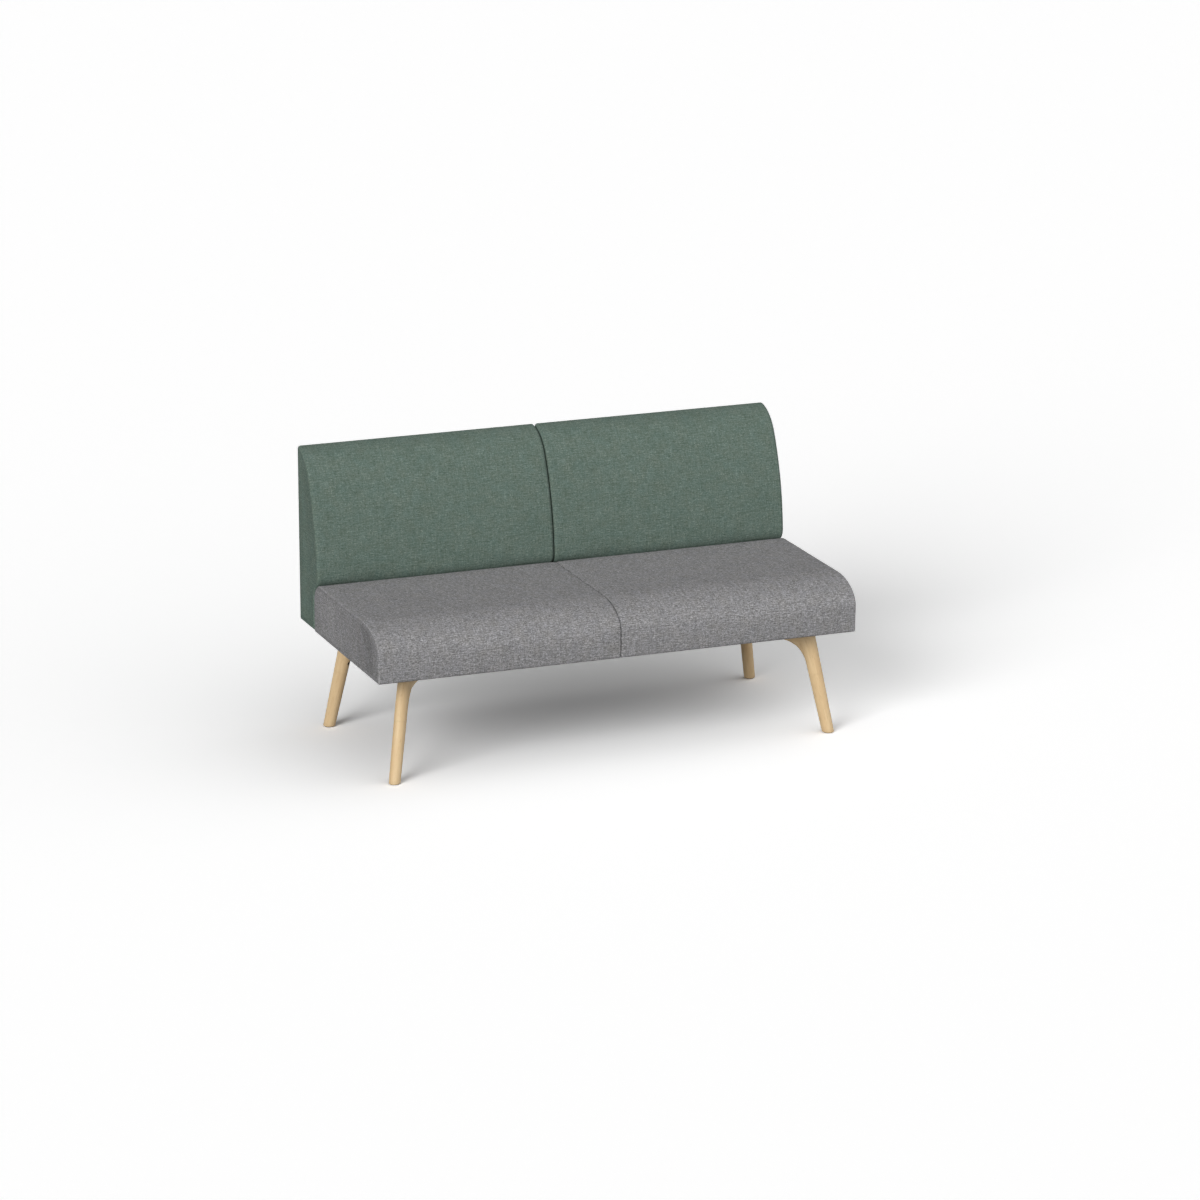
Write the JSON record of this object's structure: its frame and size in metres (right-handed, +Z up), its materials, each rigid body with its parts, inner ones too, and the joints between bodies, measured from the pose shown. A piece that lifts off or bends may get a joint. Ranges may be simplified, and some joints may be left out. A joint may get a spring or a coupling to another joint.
{
  "type": "armless two-seat sofa",
  "caption": "Armless sofa with a long upholstered seat pad, upholstered back cushions and splayed wooden legs with swept arms under the seat.",
  "frame": {"origin": "on the floor under the middle of the sofa's box", "axes": "+X along the seat, to the right as seen from the front; +Y towards the back cushions; +Z up"},
  "size_m": [1.4, 0.681, 0.8038],
  "materials": {
    "grey_fabric": "grey melange wool weave, matt",
    "green_fabric": "green melange wool weave, matt",
    "base_cloth": "black non-woven cloth",
    "seat_foam": "cut polyurethane foam",
    "webbing": "elastic woven webbing",
    "frame_timber": "sawn softwood and plywood, unfinished",
    "leg_wood": "clear lacquered pale ash",
    "zinc_steel": "zinc plated",
    "black_steel": "black oxide",
    "glide_plastic": "moulded, matt"
  },
  "bodies": {
    "root": {"seat_cover": "grey_fabric", "left_back_cover": "green_fabric", "right_back_cover": "green_fabric", "seat_base_cloth": "base_cloth", "left_back_base_cloth": "base_cloth", "right_back_base_cloth": "base_cloth", "seat_foam": "seat_foam", "left_back_foam": "seat_foam", "right_back_foam": "seat_foam", "seat_webbing": "webbing", "front_rail": "frame_timber", "rear_rail": "frame_timber", "left_end_rail": "frame_timber", "right_end_rail": "frame_timber", "middle_rail": "frame_timber", "corner_blocks": "frame_timber", "left_leg_bearer": "frame_timber", "right_leg_bearer": "frame_timber", "left_back_board": "frame_timber", "left_back_foot_board": "frame_timber", "left_back_spacers": "frame_timber", "right_back_board": "frame_timber", "right_back_foot_board": "frame_timber", "right_back_spacers": "frame_timber", "front_left_leg": "leg_wood", "front_right_leg": "leg_wood", "rear_left_leg": "leg_wood", "rear_right_leg": "leg_wood", "front_left_arm": "leg_wood", "front_right_arm": "leg_wood", "rear_left_arm": "leg_wood", "rear_right_arm": "leg_wood", "leg_tenons": "leg_wood", "back_bolts": "zinc_steel", "back_washers": "zinc_steel", "back_tee_nuts": "zinc_steel", "leg_bolts": "zinc_steel", "leg_washers": "zinc_steel", "leg_tee_nuts": "zinc_steel", "leg_cross_screws": "black_steel", "foot_glides": "glide_plastic"}
  },
  "joints": []
}
